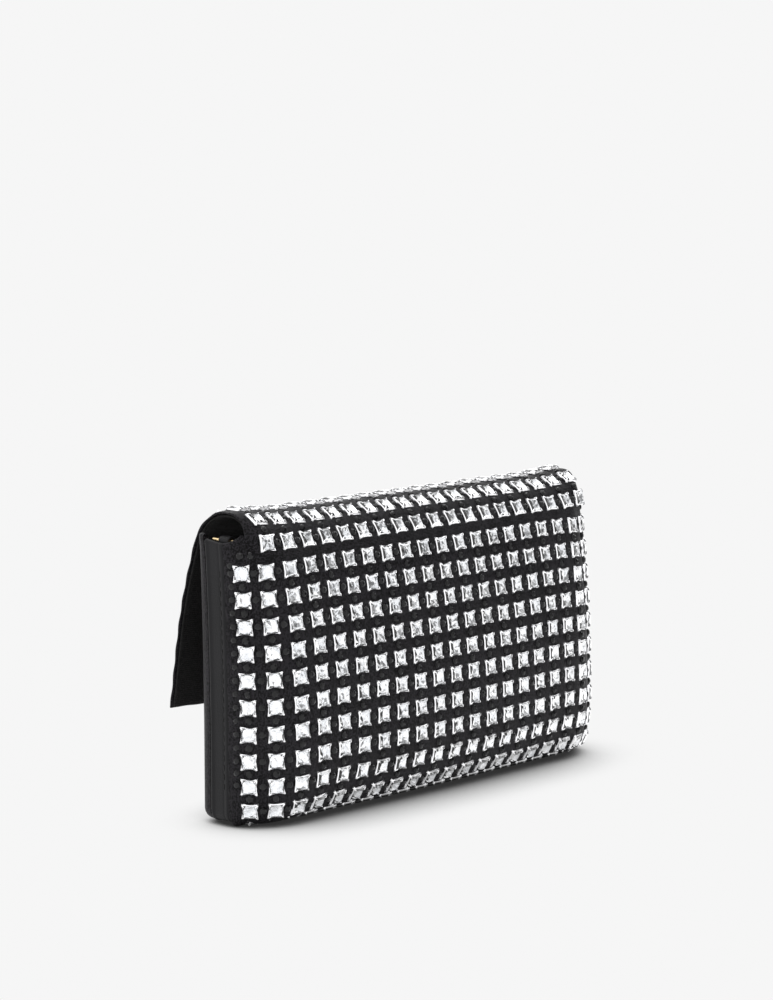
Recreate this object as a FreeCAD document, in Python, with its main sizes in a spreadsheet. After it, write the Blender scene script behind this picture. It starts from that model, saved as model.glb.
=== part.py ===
"""Studded wallet with a hanging flap and rings for a chain, as separate pieces, in millimetres.

Frame: X runs along the width, the flap hangs on the -Y side, +Z is up. The origin is the middle of the
base, on the table of the centre stone that the wallet stands on.
"""
import FreeCAD, Part
import math
import os
from FreeCAD import Placement, Rotation, Vector

doc = FreeCAD.newDocument("ChainWallet")
sheet = doc.addObject("Spreadsheet::Sheet", "Dimensions")

# alias, value, what it is (millimetres and degrees)
DIMENSIONS = [
    ("stone_pitch", 9.6, "distance between square stones, both ways"),
    ("stone_columns", 21, "columns of square stones on the back, wraps included"),
    ("stone_width", 6.2, "square stone, over the claws"),
    ("stone_table", 3.8, "flat top of the square stone"),
    ("stone_height", 1.5, "how far a square stone stands above the cover"),
    ("stone_seat", 0.3, "how deep a setting is pressed into the cover"),
    ("round_width", 2.2, "round stone, diameter"),
    ("round_table", 1.3, "flat top of the round stone"),
    ("round_height", 1.0, "how far a round stone stands above the cover"),
    ("body_width", 190.0, "gusset to gusset"),
    ("front_plane", -17.6, "outer face of the front cover"),
    ("front_corner", 6.6, "front wrap, seen from above"),
    ("crown_angle", 4.6, "half angle of the crowned back, seen from above"),
    ("wrap_radius", 26.8, "back wrap, seen from above"),
    ("wrap_angle", 64.9, "turn of the back wrap"),
    ("seam_radius", 6.0, "last turn before the gusset seam"),
    ("gusset_back", -1.4, "seam between back cover and gusset"),
    ("gusset_front", -11.0, "seam between front cover and gusset"),
    ("gusset_top", 99.5, "top of the gussets and of the cover corners"),
    ("base_seam", 4.5, "height of the seam round the base"),
    ("base_front_radius", 7.0, "bottom front edge"),
    ("base_flat_back", 5.05, "where the flat of the base ends at the back"),
    ("base_back_radius", 12.4, "bottom back edge"),
    ("base_back_angle", 62.0, "turn of the bottom back edge"),
    ("waist_radius", 38.0, "turn from the bottom edge up to the back"),
    ("back_radius", 275.0, "bow of the back, seen from the end"),
    ("back_angle", 14.3, "lean of the back where the fold starts"),
    ("fold_back_radius", 24.0, "first turn of the fold"),
    ("fold_back_angle", 40.7, "angle of the first turn"),
    ("fold_top_radius", 16.4, "top turn of the fold"),
    ("fold_top_angle", 110.7, "angle of the top turn"),
    ("flap_straight", 62.3, "straight part of the flap"),
    ("flap_width", 178.6, "width of the flap and of the fold"),
    ("flap_column", 9.36, "distance between the columns of the flap and of the fold"),
    ("flap_corner", 4.0, "rounded bottom corners of the flap"),
    ("end_corner", 9.0, "rounded bottom ends of the body, seen from the front"),
    ("cover_thickness", 1.0, "satin on its backing, and gusset leather"),
    ("board_thickness", 1.2, "stiffener board in the body"),
    ("lining_thickness", 0.6, "lining of the body"),
    ("flap_layer", 1.0, "each of the three layers of the flap and the fold"),
    ("mouth_height", 96.2, "top edge of the back and front covers under the fold"),
    ("board_top", 94.0, "top edge of boards and linings"),
    ("divider_back", 2.0, "back face of the pocket divider"),
    ("divider_thickness", 1.0, "pocket divider"),
    ("divider_width", 179.0, "pocket divider and card slots"),
    ("divider_top", 90.0, "top edge of the pocket divider"),
    ("pocket_floor", 7.0, "lowest point of the pieces that stand in the pocket"),
    ("card_width", 87.0, "inside width of a card slot"),
    ("card_leather", 0.8, "front of a card slot"),
    ("card_gap", 0.8, "room behind the front of a card slot"),
    ("card_step", 12.0, "height between one card slot's mouth and the next"),
    ("magnet_width", 14.0, "hidden magnet, diameter"),
    ("magnet_drop", 56.0, "magnet below the front hinge line, along the flap"),
    ("ring_wire", 2.4, "D-ring wire"),
    ("ring_half", 6.0, "half of the D-ring, wire centre to wire centre"),
    ("ring_height", 100.3, "height of the D-ring's bar"),
    ("ring_inset", 4.6, "D-ring's bar in from the gusset's face"),
    ("tab_width", 6.0, "leather tab of the D-ring"),
    ("tab_length", 19.0, "leather tab, down from the bar"),
    ("stitch_length", 2.3, "visible length of a stitch"),
    ("stitch_pitch", 3.4, "distance from stitch to stitch"),
    ("stitch_thread", 0.5, "thread diameter"),
]
for row, (alias, value, meaning) in enumerate(DIMENSIONS, start=1):
    sheet.set(f"A{row}", meaning)
    sheet.set(f"B{row}", str(value))
    sheet.setAlias(f"B{row}", alias)
doc.recompute()


def size(alias):
    """The value of a cell of the sheet."""
    return float(getattr(sheet, alias))


def bind(item, **cells):
    """Bind properties of an object to expressions over the sheet."""
    for prop, expression in cells.items():
        item.setExpression(prop, expression)
    return item


PITCH = size("stone_pitch")
HALF_WIDTH = size("body_width") / 2
SEAT = size("stone_seat")
FLAP_HALF = size("flap_width") / 2
FAR = 200.0  # longer than the whole wallet
kept = []  # the objects that become nodes


def keep(item, label):
    """Mark an object as a node and give it the node's name."""
    item.Label = label
    kept.append(item)
    return item


def feature(label, shape, placement=None):
    """A node whose shape comes from Part's own functions."""
    item = doc.addObject("Part::Feature", label)
    item.Shape = shape
    if placement:
        item.Placement = placement
    return keep(item, label)


# ------------------------------------------------------------------ outlines

class Outline:
    """Tangent lines and arcs in a plane. Its inside lies on the left of the way it is walked."""

    def __init__(self, start, heading, legs):
        self.legs = []  # (kind, length, start point, heading, radius)
        self.length = 0.0
        point, angle = start, math.radians(heading)
        for kind, amount, *rest in legs:
            radius = rest[0] if rest else 0.0
            run = amount if kind == "line" else math.radians(amount) * radius
            self.legs.append((kind, run, point, angle, radius))
            point, angle = self._walk(self.legs[-1], run)
            self.length += run

    def _walk(self, leg, run):
        kind, _, (u, v), angle, radius = leg
        if kind == "line":
            return (u + run * math.cos(angle), v + run * math.sin(angle)), angle
        end = angle + run / radius
        u += radius * (math.sin(end) - math.sin(angle))
        v += radius * (math.cos(angle) - math.cos(end))
        return (u, v), end

    def at(self, distance, inset=0.0):
        """Point and heading at a distance along the outline, moved to its inside by inset."""
        rest = distance
        for leg in self.legs:
            if rest <= leg[1] or leg is self.legs[-1]:
                (u, v), angle = self._walk(leg, rest)
                return (u - inset * math.sin(angle), v + inset * math.cos(angle)), angle
            rest -= leg[1]

    def mark(self, index):
        """Distance at which leg number index starts."""
        return sum(leg[1] for leg in self.legs[:index])

    def edges(self, first, last, inset, place):
        """Edges from one distance to another; place turns a point of the plane into a Vector."""
        made, start = [], 0.0
        for kind, run, *_ in self.legs:
            low, high = max(first, start), min(last, start + run)
            if high - low > 1e-6:
                ends = [place(*self.at(d, inset)[0]) for d in (low, (low + high) / 2, high)]
                curve = Part.LineSegment(ends[0], ends[2]) if kind == "line" else Part.Arc(*ends)
                made.append(curve.toShape())
            start += run
        return made


def closed_face(edges):
    return Part.Face(Part.Wire(Part.__sortEdges__(edges)))


def gap_edge(first, last):
    return Part.LineSegment(first, last).toShape()


# Side outline, seen from the +X end: down the front, under the base, up the back,
# over the fold and down the flap.
OPEN_TOP = 120.0
base_height = size("stone_height")
side = Outline(
    (size("front_plane"), OPEN_TOP),
    -90,
    [
        ("line", OPEN_TOP - base_height - size("base_front_radius")),
        ("arc", 90, size("base_front_radius")),
        ("line", size("base_flat_back") - size("front_plane") - size("base_front_radius")),
        ("arc", size("base_back_angle"), size("base_back_radius")),
        ("arc", 90 - size("base_back_angle"), size("waist_radius")),
        ("arc", size("back_angle"), size("back_radius")),
        ("arc", size("fold_back_angle"), size("fold_back_radius")),
        ("arc", size("fold_top_angle"), size("fold_top_radius")),
        ("line", size("flap_straight")),
    ],
)
MIDDLE = side.mark(3) - size("base_flat_back")  # the origin's place on the outline
WAIST = side.mark(5)
ROWS_ON_BACK = 8  # above the waist, the row on it included
BACK_SPLIT = WAIST + (ROWS_ON_BACK - 0.5) * PITCH  # where the fold leaves the back cover
FOLD_ROWS = 4
FLAP_SPLIT = BACK_SPLIT + FOLD_ROWS * PITCH
LOW_ROWS = 2  # rows between the waist and the base
base_pitch = (WAIST - LOW_ROWS * PITCH - MIDDLE) / 2

# Plan outline, from the middle of the back to the middle of the front, on the -X side.
wrap_end = math.radians(size("crown_angle") + size("wrap_angle"))
crown = math.radians(size("crown_angle"))
wrap_reach = size("wrap_radius") * (math.sin(wrap_end) - math.sin(crown))
seam_reach = size("seam_radius") * (1 - math.sin(wrap_end))
crown_radius = (HALF_WIDTH - wrap_reach - seam_reach) / math.sin(crown)
back_plane = side.at(WAIST)[0][0]
plan_legs = [
    ("arc", size("crown_angle"), crown_radius),
    ("arc", size("wrap_angle"), size("wrap_radius")),
    ("arc", 90 - math.degrees(wrap_end), size("seam_radius")),
]
wrap_corner = Outline((0.0, back_plane), 180, plan_legs)
strip_run = wrap_corner.at(wrap_corner.length)[0][1] - size("front_plane") - size("front_corner")
plan = Outline(
    (0.0, back_plane),
    180,
    plan_legs
    + [
        ("line", strip_run),
        ("arc", 90, size("front_corner")),
        ("line", HALF_WIDTH - size("front_corner")),
    ],
)


def core(inset):
    """The body as one block, its outside moved inwards by inset. Its top reaches above every piece."""
    at_side = lambda u, v: Vector(-FAR, u, v)
    top_end = BACK_SPLIT + PITCH
    outline = side.edges(0, top_end, inset, at_side)
    corners = [at_side(*side.at(top_end, inset)[0]), at_side(0, OPEN_TOP), at_side(*side.at(0, inset)[0])]
    outline += [gap_edge(corners[0], corners[1]), gap_edge(corners[1], corners[2])]
    block = closed_face(outline).extrude(Vector(2 * FAR, 0, 0))

    halves = []
    for sign in (1, -1):
        halves += plan.edges(0, plan.length, inset, lambda u, v: Vector(sign * u, v, -FAR))
    seen_above = closed_face(halves).extrude(Vector(0, 0, 2 * FAR))

    corner, low = size("end_corner"), base_height + inset
    across, wide = HALF_WIDTH - inset, size("end_corner") - inset
    bevel = wide * (1 - math.sqrt(0.5))
    points = {
        "foot": (across - wide, low),
        "bend": (across - bevel, low + bevel),
        "wall": (across, base_height + corner),
        "top": (across, OPEN_TOP),
    }
    right = {name: Vector(x, -FAR, z) for name, (x, z) in points.items()}
    left = {name: Vector(-x, -FAR, z) for name, (x, z) in points.items()}
    rim = [gap_edge(left["foot"], right["foot"]), gap_edge(left["top"], right["top"])]
    for half in (left, right):
        rim.append(Part.Arc(half["foot"], half["bend"], half["wall"]).toShape())
        rim.append(gap_edge(half["wall"], half["top"]))
    seen_front = closed_face(rim).extrude(Vector(0, 2 * FAR, 0))
    return block.common(seen_above).common(seen_front)


def slab(x=(-FAR, FAR), y=(-FAR, FAR), z=(-FAR, FAR)):
    """A block between limits, for cutting a region out of a shell."""
    return Part.makeBox(x[1] - x[0], y[1] - y[0], z[1] - z[0], Vector(x[0], y[0], z[0]))


# ------------------------------------------------------------------ shells of the body

COVER = size("cover_thickness")
BOARD = round(COVER + size("board_thickness"), 3)
LINING = round(BOARD + size("lining_thickness"), 3)
GUSSET_LINING = round(COVER + size("lining_thickness"), 3)
cores = {inset: core(inset) for inset in (0.0, COVER, BOARD, LINING, GUSSET_LINING)}
SEAM_BACK, SEAM_FRONT = size("gusset_back"), size("gusset_front")
BASE_SEAM = size("base_seam")
MOUTH_HALF = FLAP_HALF + 0.3
mouth = slab(x=(-MOUTH_HALF, MOUTH_HALF), z=(size("mouth_height"), FAR))
mouth = mouth.fuse(slab(z=(size("gusset_top"), FAR)))
board_mouth = slab(z=(size("board_top"), FAR))
region = {
    "back": slab(y=(SEAM_BACK, FAR), z=(BASE_SEAM, FAR)),
    "front": slab(y=(-FAR, SEAM_FRONT), z=(BASE_SEAM, FAR)),
    "base": slab(z=(-FAR, BASE_SEAM)),
    "left_gusset": slab(x=(-FAR, 0), y=(SEAM_FRONT, SEAM_BACK), z=(BASE_SEAM, FAR)),
    "right_gusset": slab(x=(0, FAR), y=(SEAM_FRONT, SEAM_BACK), z=(BASE_SEAM, FAR)),
}


def shell_piece(outer, inner, where, top):
    return cores[outer].cut(cores[inner]).cut(top).common(region[where])


for name in ("back", "front", "base"):
    feature(f"{name}_cover", shell_piece(0.0, COVER, name, mouth))
    feature(f"{name}_board", shell_piece(COVER, BOARD, name, board_mouth))
    feature(f"{name}_lining", shell_piece(BOARD, LINING, name, board_mouth))
for name in ("left_gusset", "right_gusset"):
    feature(name, shell_piece(0.0, COVER, name, mouth))
    feature(f"{name}_lining", shell_piece(COVER, GUSSET_LINING, name, board_mouth))

# ------------------------------------------------------------------ fold and flap


def strip(first, last, outer, inner, half_width):
    """A sheet that follows the side outline between two distances and two depths."""
    place = lambda u, v: Vector(-half_width, u, v)
    edges = side.edges(first, last, outer, place) + side.edges(first, last, inner, place)
    for distance in (first, last):
        edges.append(gap_edge(place(*side.at(distance, outer)[0]), place(*side.at(distance, inner)[0])))
    return closed_face(edges).extrude(Vector(2 * half_width, 0, 0))


def round_flap_corners(shape):
    """Round the two lower corners of a sheet of the flap."""
    low = side.at(side.length)[0][1] + LAYER
    edges = [e for e in shape.Edges if e.Length < 2 * LAYER and all(v.Z < low for v in e.Vertexes)]
    return shape.makeFillet(size("flap_corner"), edges)


LAYER = size("flap_layer")
HINGE_GAP = 1.2  # bare leather at the front hinge line, which lets the flap close
FOLD_START, FOLD_END = BACK_SPLIT + 0.2, FLAP_SPLIT
FLAP_START, FLAP_END = FLAP_SPLIT + HINGE_GAP, side.length
feature("fold_cover", strip(FOLD_START, FOLD_END, 0, LAYER, FLAP_HALF))
feature("fold_interlining", strip(FOLD_START, FOLD_END, LAYER, 2 * LAYER, FLAP_HALF))
feature("fold_lining", strip(FOLD_START + 0.2, FOLD_END, 2 * LAYER, 3 * LAYER, FLAP_HALF))
flap_board = strip(FLAP_START, FLAP_END, LAYER, 2 * LAYER, FLAP_HALF)
feature("flap_cover", round_flap_corners(strip(FLAP_START, FLAP_END, 0, LAYER, FLAP_HALF)))
feature("flap_lining", round_flap_corners(strip(FLAP_START, FLAP_END, 2 * LAYER, 3 * LAYER, FLAP_HALF)))

# The magnets sit in holes of the two boards and face each other when the flap is down.
(magnet_y, magnet_z), magnet_heading = side.at(FLAP_SPLIT + size("magnet_drop"), 2 * LAYER)
outward = Vector(0, math.sin(magnet_heading), -math.cos(magnet_heading))
flap_magnet = Part.makeCylinder(size("magnet_width") / 2, LAYER, Vector(0, magnet_y, magnet_z), outward)
feature("flap_magnet", flap_magnet)
feature("flap_board", round_flap_corners(flap_board).cut(flap_magnet))
body_magnet = doc.addObject("Part::Cylinder", "body_magnet")
bind(body_magnet, Radius="Dimensions.magnet_width / 2", Height="Dimensions.board_thickness")
magnet_foot = Vector(0, size("front_plane") + BOARD, magnet_z)
body_magnet.Placement = Placement(magnet_foot, Rotation(Vector(1, 0, 0), 90))
keep(body_magnet, "front_magnet")
doc.recompute()
front_board = next(item for item in kept if item.Label == "front_board")
front_board.Shape = front_board.Shape.cut(body_magnet.Shape)

# ------------------------------------------------------------------ stones


def square_stone():
    """A claw setting with its stone: a flat-topped pyramid, its foot in the cover."""
    half, top = size("stone_width") / 2, size("stone_table") / 2
    height = size("stone_height") + SEAT
    pyramid = Part.makeWedge(-half, 0, -half, -top, -top, half, height, half, top, top)
    pyramid.rotate(Vector(), Vector(1, 0, 0), 90)
    pyramid.translate(Vector(0, 0, -SEAT))
    return pyramid


def round_stone():
    height = size("round_height") + SEAT
    return Part.makeCone(size("round_width") / 2, size("round_table") / 2, height, Vector(0, 0, -SEAT))


def seated(stone, point, normal, along):
    """A copy of a stone, standing on point with its axis along normal."""
    copy = stone.copy()
    standing = Placement(point, Rotation(along, normal.cross(along), normal, "ZXY"))
    copy.Placement = standing.multiply(stone.Placement)
    return copy


def on_side_outline(across, distance):
    """Foot, normal and row direction of a stone on a part of the skin that is straight along X."""
    (y, z), angle = side.at(distance)
    return Vector(across, y, z), Vector(0, math.sin(angle), -math.cos(angle)), Vector(1, 0, 0)


def on_back(run, distance):
    """The same on the back, where the columns follow the plan outline round the wraps."""
    sign = -1 if run < 0 else 1
    (x, y_plan), heading = plan.at(abs(run))
    (y_side, z), _ = side.at(distance)
    if y_side <= y_plan:
        return on_side_outline(-sign * x, distance)
    normal = Vector(-sign * math.sin(heading), -math.cos(heading), 0)
    along = Vector(-normal.y, normal.x, 0)
    return Vector(-sign * x, y_plan, z), normal, along


def between(values):
    return [(low + high) / 2 for low, high in zip(values, values[1:])]


def beside_wrap(run):
    """The round stones just inside the wraps stand a little further in, clear of the turn."""
    crowded = 8 * PITCH < abs(run) < 9 * PITCH
    return run - math.copysign(0.22, run) if crowded else run


def stud(prefix, locate, runs, distances):
    """Square stones at every crossing of runs and distances, and a round stone in each gap between two."""
    squares = [seated(square_stone(), *locate(run, d)) for run in runs for d in distances]
    gaps = [beside_wrap(run) for run in between(runs)]
    rounds = [seated(round_stone(), *locate(run, d)) for run in gaps for d in distances]
    rounds += [seated(round_stone(), *locate(run, d)) for run in runs for d in between(distances)]
    feature(f"{prefix}_square_stones", Part.makeCompound(squares))
    return rounds


half_columns = (int(size("stone_columns")) - 1) // 2
back_runs = [column * PITCH for column in range(-half_columns, half_columns + 1)]
flat_runs = back_runs[1:-1]
flap_runs = [run / PITCH * size("flap_column") for run in flat_runs]
back_rows = [WAIST + row * PITCH for row in range(-LOW_ROWS, ROWS_ON_BACK)]
base_rows = [MIDDLE + row * base_pitch for row in (1, 0, -1)]
front_foot = MIDDLE - 2 * base_pitch
front_rows = [front_foot - row * PITCH for row in range(4)]
fold_rows = [BACK_SPLIT + (row + 0.5) * PITCH for row in range(FOLD_ROWS)]
flap_rows = [FLAP_SPLIT + (row + 0.5) * PITCH for row in range(7)]

back_rounds = stud("back", on_back, back_runs, back_rows)
seam_rows = back_rows[LOW_ROWS - 1:]
for sign in (-1, 1):
    seam_run = sign * (half_columns + 0.5) * PITCH
    back_rounds += [seated(round_stone(), *on_back(seam_run, d)) for d in seam_rows + between(seam_rows)]
    last_row = back_rows[-1]
    for column, rise in ((half_columns, 0.6), (half_columns - 0.5, 0.2)):
        spot = on_back(sign * column * PITCH, last_row + rise * PITCH)
        back_rounds.append(seated(round_stone(), *spot))
feature("back_round_stones", Part.makeCompound(back_rounds))
studded = (
    ("base", flat_runs, base_rows),
    ("front", flat_runs, front_rows),
    ("fold", flap_runs, fold_rows),
    ("flap", flap_runs, flap_rows),
)
for prefix, runs, rows in studded:
    rounds = stud(prefix, on_side_outline, runs, rows)
    feature(f"{prefix}_round_stones", Part.makeCompound(rounds))

# ------------------------------------------------------------------ gusset stitching

for label, sign in (("left_gusset_stitching", -1), ("right_gusset_stitching", 1)):
    reach = HALF_WIDTH - size("stitch_thread") / 4
    stitch_y = SEAM_BACK - 1.6
    first = BASE_SEAM + size("end_corner")
    count = int((size("board_top") - first) / size("stitch_pitch"))
    stitches = [
        Part.makeCylinder(
            size("stitch_thread") / 2,
            size("stitch_length"),
            Vector(sign * reach, stitch_y, first + number * size("stitch_pitch")),
        )
        for number in range(count)
    ]
    feature(label, Part.makeCompound(stitches))

# ------------------------------------------------------------------ pocket divider and card slots

divider = doc.addObject("Part::Box", "divider")
bind(
    divider,
    Length="Dimensions.divider_width",
    Width="Dimensions.divider_thickness",
    Height="Dimensions.divider_top - Dimensions.pocket_floor",
)
divider.setExpression("Placement.Base.x", "-Dimensions.divider_width / 2")
divider.setExpression("Placement.Base.y", "Dimensions.divider_back - Dimensions.divider_thickness")
divider.setExpression("Placement.Base.z", "Dimensions.pocket_floor")
keep(divider, "pocket_divider")

SLOT_DEPTH = "(Dimensions.card_leather + Dimensions.card_gap)"
for number, label in enumerate(("card_slot_top", "card_slot_middle", "card_slot_bottom"), start=1):
    mouth_z = f"(Dimensions.divider_top - {number + 1} * Dimensions.card_step)"
    front_y = f"(Dimensions.divider_back - Dimensions.divider_thickness - {number} * {SLOT_DEPTH})"
    strip_box = doc.addObject("Part::Box", f"{label}_leather")
    bind(
        strip_box,
        Length="Dimensions.divider_width",
        Width=SLOT_DEPTH,
        Height=f"{mouth_z} - Dimensions.pocket_floor - Dimensions.card_step / 2",
    )
    strip_box.setExpression("Placement.Base.x", "-Dimensions.divider_width / 2")
    strip_box.setExpression("Placement.Base.y", front_y)
    strip_box.setExpression("Placement.Base.z", "Dimensions.pocket_floor + Dimensions.card_step / 2")
    pockets = []
    for name, left_edge in (("left", "-Dimensions.card_width - 1"), ("right", "1")):
        pocket = doc.addObject("Part::Box", f"{label}_{name}_pocket")
        bind(
            pocket,
            Length="Dimensions.card_width",
            Width="Dimensions.card_gap",
            Height="2 * Dimensions.card_width",
        )
        pocket.setExpression("Placement.Base.x", left_edge)
        pocket.setExpression("Placement.Base.y", f"{front_y} + Dimensions.card_leather")
        pocket.setExpression("Placement.Base.z", f"{mouth_z} - 4 * Dimensions.card_step")
        pockets.append(pocket)
    both = doc.addObject("Part::MultiFuse", f"{label}_pockets")
    both.Shapes = pockets
    slot = doc.addObject("Part::Cut", label)
    slot.Base, slot.Tool = strip_box, both
    keep(slot, label)

# ------------------------------------------------------------------ D-rings and their tabs

strip_middle = (SEAM_BACK + SEAM_FRONT) / 2
bar_x = HALF_WIDTH - size("ring_inset")
wire = size("ring_wire") / 2
LOOP_HOLE = wire + 0.2
LOOP_OUTER = LOOP_HOLE + 1.1


def d_ring(sign):
    """A bar along Y with a half round below it, all of one wire."""
    bar_y, bar_z, half = strip_middle, size("ring_height"), size("ring_half")
    ends = [Vector(sign * bar_x, bar_y + end * half, bar_z) for end in (-1, 1)]
    shoulder = [Vector(end.x, end.y, bar_z - half / 2) for end in ends]
    lowest = Vector(ends[0].x, bar_y, bar_z - half / 2 - half)
    loop = Part.Wire(
        [
            Part.LineSegment(shoulder[0], ends[0]).toShape(),
            Part.LineSegment(ends[0], ends[1]).toShape(),
            Part.LineSegment(ends[1], shoulder[1]).toShape(),
            Part.Arc(shoulder[1], lowest, shoulder[0]).toShape(),
        ]
    )
    pieces = []
    for edge in loop.Edges:
        start = edge.valueAt(edge.FirstParameter)
        circle = Part.Wire(Part.Circle(start, edge.tangentAt(edge.FirstParameter), wire).toShape())
        pieces.append(Part.Wire(edge).makePipeShell([circle], True, False))
    pieces += [Part.makeSphere(wire, end) for end in ends]
    return pieces[0].multiFuse(pieces[1:]).removeSplitter()


def ring_tab(sign):
    """A leather tab: a loop round the bar and a strap down the inside of the gusset."""
    width, height = size("tab_width"), size("ring_height")
    corner = Vector(sign * bar_x, strip_middle - width / 2, height)
    loop = Part.makeCylinder(LOOP_OUTER, width, corner, Vector(0, 1, 0))
    strap = slab(
        x=(bar_x + LOOP_HOLE, bar_x + LOOP_OUTER),
        y=(strip_middle - width / 2, strip_middle + width / 2),
        z=(height - size("tab_length"), height),
    )
    if sign < 0:
        strap = strap.mirror(Vector(), Vector(1, 0, 0))
    hole = Part.makeCylinder(LOOP_HOLE, width, corner, Vector(0, 1, 0))
    return loop.fuse(strap).cut(hole).removeSplitter()


for label, sign in (("left", -1), ("right", 1)):
    feature(f"{label}_d_ring", d_ring(sign))
    feature(f"{label}_ring_tab", ring_tab(sign))

# ------------------------------------------------------------------ check and write

doc.recompute()
for item in doc.Objects:
    broken = [state for state in item.State if state in ("Invalid", "Error")]
    if broken:
        raise RuntimeError(f"{item.Label}: {broken}")
os.makedirs("parts", exist_ok=True)
for item in kept:
    if item.Shape.isNull() or not item.Shape.isValid():
        raise RuntimeError(f"{item.Label} has no valid shape")
    item.Shape.exportStep(f"parts/{item.Label}.step")
    box = item.Shape.BoundBox
    print(
        f"{item.Label:26s} solids {len(item.Shape.Solids):4d} volume {item.Shape.Volume:10.1f} "
        f"x {box.XMin:7.1f} {box.XMax:7.1f} y {box.YMin:6.1f} {box.YMax:6.1f} "
        f"z {box.ZMin:6.1f} {box.ZMax:6.1f}"
    )
(hinge_y, hinge_z), angle = side.at(BACK_SPLIT, -0.8)
print("fold hinge", round(hinge_y, 3), round(hinge_z, 3))
(hinge_y, hinge_z), angle = side.at(FLAP_SPLIT + HINGE_GAP / 2, -0.8)
print("flap hinge", round(hinge_y, 3), round(hinge_z, 3))
print("ring bar", bar_x, strip_middle, size("ring_height"))
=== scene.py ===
"""Looks of the studded wallet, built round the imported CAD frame. Lengths are worked out in millimetres."""
import math
import random

import bmesh
import bpy
import numpy as np
from mathutils import Matrix, Vector


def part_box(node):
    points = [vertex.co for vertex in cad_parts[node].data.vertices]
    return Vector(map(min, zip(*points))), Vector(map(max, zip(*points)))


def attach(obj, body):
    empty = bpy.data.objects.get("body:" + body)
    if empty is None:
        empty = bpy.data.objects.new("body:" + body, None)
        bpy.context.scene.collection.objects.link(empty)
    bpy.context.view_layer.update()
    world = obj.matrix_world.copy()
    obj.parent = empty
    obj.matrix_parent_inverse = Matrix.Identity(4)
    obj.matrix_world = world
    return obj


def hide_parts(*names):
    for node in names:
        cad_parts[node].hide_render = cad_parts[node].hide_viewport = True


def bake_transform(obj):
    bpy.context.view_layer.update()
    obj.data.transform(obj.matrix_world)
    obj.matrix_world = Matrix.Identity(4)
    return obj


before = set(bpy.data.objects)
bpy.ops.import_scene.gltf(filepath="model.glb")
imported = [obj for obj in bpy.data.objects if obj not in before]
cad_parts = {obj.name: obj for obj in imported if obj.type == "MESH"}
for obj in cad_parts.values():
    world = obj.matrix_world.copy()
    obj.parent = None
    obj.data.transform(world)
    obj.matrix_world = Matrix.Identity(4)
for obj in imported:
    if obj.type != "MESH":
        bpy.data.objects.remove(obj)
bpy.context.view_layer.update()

MM = 0.001
random.seed(11)

# ------------------------------------------------------------------ camera, fitted to the photograph

camera = bpy.data.objects.new("camera", bpy.data.cameras.new("camera"))
bpy.context.scene.collection.objects.link(camera)
bpy.context.scene.camera = camera
camera.data.lens = 108.25
camera.data.sensor_width = 36.0
camera.data.clip_start, camera.data.clip_end = 0.05, 100.0
camera.location = Vector((807.8, 742.1, 248.6)) * MM
camera.rotation_mode = "QUATERNION"
camera.rotation_quaternion = Vector((-0.72367, -0.67815, -0.12800)).to_track_quat("-Z", "Y")

# ------------------------------------------------------------------ outlines


class Outline:
    """Tangent lines and arcs in a plane, sampled finely, to be looked up by arrays of distances."""

    STEP = 0.05

    def __init__(self, start, heading, legs):
        us, vs, angles, runs = [start[0]], [start[1]], [math.radians(heading)], [0.0]
        self.marks = [0.0]
        for kind, amount, *rest in legs:
            run = amount if kind == "line" else math.radians(amount) * rest[0]
            turn = 0.0 if kind == "line" else math.radians(amount)
            count = max(2, round(run / self.STEP))
            for _ in range(count):
                middle = angles[-1] + turn / count / 2
                us.append(us[-1] + run / count * math.cos(middle))
                vs.append(vs[-1] + run / count * math.sin(middle))
                angles.append(angles[-1] + turn / count)
                runs.append(runs[-1] + run / count)
            self.marks.append(runs[-1])
        self.us, self.vs, self.angles, self.runs = map(np.array, (us, vs, angles, runs))
        self.length = runs[-1]

    def at(self, distance):
        """Coordinates and heading at distances along the outline, carried on straight past its ends."""
        distance = np.asarray(distance, float)
        inside = np.clip(distance, 0, self.length)
        over = distance - inside
        angle = np.interp(inside, self.runs, self.angles)
        u = np.interp(inside, self.runs, self.us) + over * np.cos(angle)
        v = np.interp(inside, self.runs, self.vs) + over * np.sin(angle)
        return u, v, angle


PITCH = 9.6  # of the grid of stones
FRONT_PLANE = -17.6
BASE_Z = 1.5
OUTLINE_TOP, FRONT_RADIUS = 120.0, 7.0
BASE_FLAT_END = 5.05  # the Y at which the base turns up into the back

# From the front, under the base, up the back, over the fold and down the flap.
side = Outline(
    (FRONT_PLANE, OUTLINE_TOP),
    -90,
    [
        ("line", OUTLINE_TOP - BASE_Z - FRONT_RADIUS),
        ("arc", 90, FRONT_RADIUS),
        ("line", BASE_FLAT_END - FRONT_PLANE - FRONT_RADIUS),
        ("arc", 62, 12.4),
        ("arc", 28, 38.0),
        ("arc", 14.3, 275.0),
        ("arc", 40.7, 24.0),
        ("arc", 110.7, 16.4),
        ("line", 62.3),
    ],
)
MIDDLE = side.marks[3] - BASE_FLAT_END
WAIST = side.marks[5]
BACK_SPLIT = WAIST + 7.5 * PITCH
FLAP_SPLIT = BACK_SPLIT + 4 * PITCH
BASE_PITCH = (WAIST - 2 * PITCH - MIDDLE) / 2
WAIST_Y, WAIST_Z = (float(value) for value in side.at(WAIST)[:2])

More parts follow.
